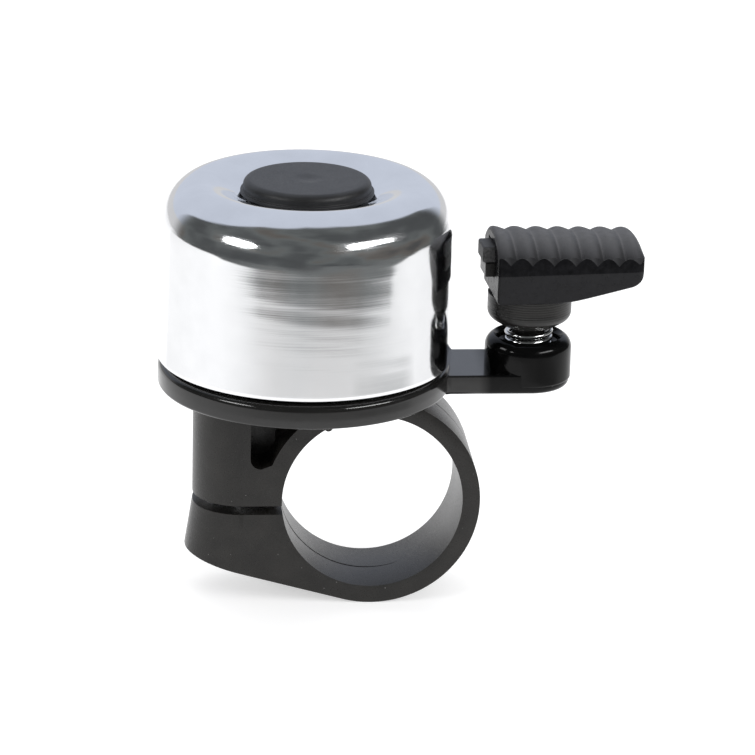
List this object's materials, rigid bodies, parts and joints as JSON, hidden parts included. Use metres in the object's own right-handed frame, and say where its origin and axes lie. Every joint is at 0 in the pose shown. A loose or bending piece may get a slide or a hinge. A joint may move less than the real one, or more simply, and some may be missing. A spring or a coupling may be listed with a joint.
{
  "type": "bicycle bell",
  "caption": "Small aluminium dome bell on a black hinged-band handlebar clamp, rung by a ribbed thumb hammer on a coil spring.",
  "frame": {"origin": "centre of the clamp's bore, at the middle of the band's width", "axes": "+Y along the handlebar, +X from the dome towards the hammer, +Z from the handlebar up through the dome"},
  "size_m": [0.0588, 0.036, 0.0526],
  "materials": {
    "polished_aluminium": "bright polished, with faint turning marks",
    "gloss_black_plastic": "moulded, high gloss",
    "matt_black_plastic": "moulded, fine spark texture",
    "cap_black_plastic": "moulded, satin",
    "hub_black_plastic": "moulded, satin",
    "pad_black_rubber": "semi-gloss, ribbed",
    "striker_steel": "grey, rough",
    "zinc_steel": "zinc plated",
    "spring_steel": "bright drawn wire",
    "brass": "turned",
    "nylon": "natural white"
  },
  "bodies": {
    "frame": {"clamp_bracket": "matt_black_plastic", "clamp_insert": "brass", "base_plate": "gloss_black_plastic", "centre_insert": "brass", "dome_isolator": "nylon", "dome": "polished_aluminium", "dome_washer": "zinc_steel", "dome_screw": "zinc_steel", "dome_cap": "cap_black_plastic"},
    "clamp_jaw": {"clamp_strap": "matt_black_plastic"},
    "screw_carriage": {"clamp_washer": "zinc_steel"},
    "clamp_screw": {"clamp_screw": "zinc_steel"},
    "spring": {"hammer_spring": "spring_steel"},
    "hammer": {"hammer_hub": "hub_black_plastic", "striker": "striker_steel", "thumb_pad": "pad_black_rubber"}
  },
  "joints": [
    {"name": "hammer_tilt", "type": "hinge", "parent": "frame", "child": "spring", "pos_m": [0.01926, 0, 0.0188], "axis": [0, 1, 0], "range_deg": [-16, 14], "stiffness_Nm_per_rad": 0.03, "deforming": ["hammer_spring"]},
    {"name": "hammer_sway", "type": "hinge", "parent": "spring", "child": "hammer", "pos_m": [0.01926, 0, 0.0188], "axis": [1, 0, 0], "range_deg": [-6, 6], "stiffness_Nm_per_rad": 0.03, "deforming": ["hammer_spring"]},
    {"name": "screw_turn", "type": "hinge", "parent": "screw_carriage", "child": "clamp_screw", "pos_m": [-0.018, 0, -0.006], "axis": [0, 0, 1], "range_deg": [0, 649]},
    {"name": "screw_lift", "type": "slide", "parent": "frame", "child": "screw_carriage", "axis": [0, 0, 1], "range_m": [0, 0.000902]},
    {"name": "jaw_flex", "type": "hinge", "parent": "frame", "child": "clamp_jaw", "pos_m": [0.01213, 0, -0.00106], "axis": [0, 1, 0], "range_deg": [0, 1.7]}
  ],
  "couplings": [
    {"joint": "screw_turn", "follows": "jaw_flex", "ratio": 381.18},
    {"joint": "screw_lift", "follows": "jaw_flex", "m_per_rad": 0.030333}
  ]
}
